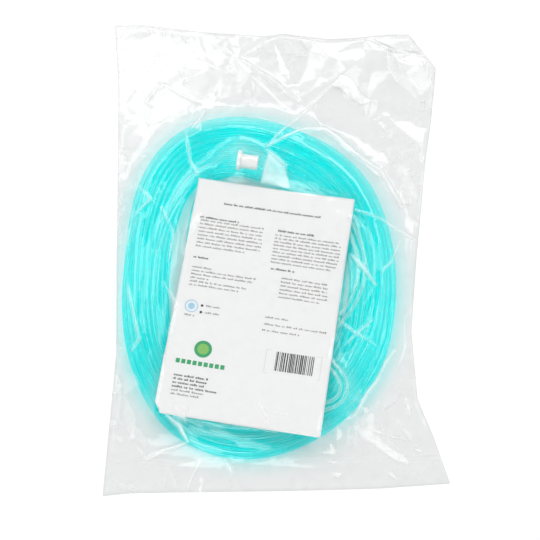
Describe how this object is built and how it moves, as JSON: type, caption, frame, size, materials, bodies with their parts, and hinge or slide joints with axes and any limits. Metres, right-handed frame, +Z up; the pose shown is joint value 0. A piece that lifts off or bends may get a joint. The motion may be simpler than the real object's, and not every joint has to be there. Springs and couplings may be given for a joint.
{
  "type": "nasal oxygen cannula in a clear pouch",
  "caption": "Nasal oxygen cannula with a coiled turquoise supply tube, white connector and leaflet, packed flat in a clear plastic pouch",
  "frame": {"origin": "Under the middle of the whole pouch, on the floor it lies on.", "axes": "Z up from the floor, Y along the pouch towards the end with the folded corner, X across it to the right as seen from above."},
  "size_m": [0.3016, 0.442, 0.0276],
  "materials": {
    "clear_film": "clear, creased polyethylene film with a soft gloss",
    "turquoise_tubing": "translucent turquoise soft plastic, smooth and glossy",
    "pale_tubing": "translucent pale green soft plastic, smooth",
    "white_plastic": "moulded white plastic, smooth satin",
    "clear_plastic": "moulded clear plastic, glossy",
    "leaflet_paper": "white printed paper, smooth, slightly waved"
  },
  "bodies": {
    "root": {"pouch_back_film": "clear_film", "pouch_front_film": "clear_film", "supply_tube_coil": "turquoise_tubing", "supply_tube_lead": "turquoise_tubing", "supply_tube_tail": "turquoise_tubing", "tube_connector": "white_plastic", "y_connector": "clear_plastic", "lumen_tube_outer": "pale_tubing", "lumen_tube_inner": "pale_tubing", "nosepiece": "pale_tubing", "instruction_leaflet": "leaflet_paper"},
    "slide": {"slide_adjuster": "clear_plastic"}
  },
  "joints": [
    {"name": "slide_on_tubes", "type": "slide", "parent": "root", "child": "slide", "axis": [0, 1, 0], "range_m": [-0.01, 0.01]}
  ]
}
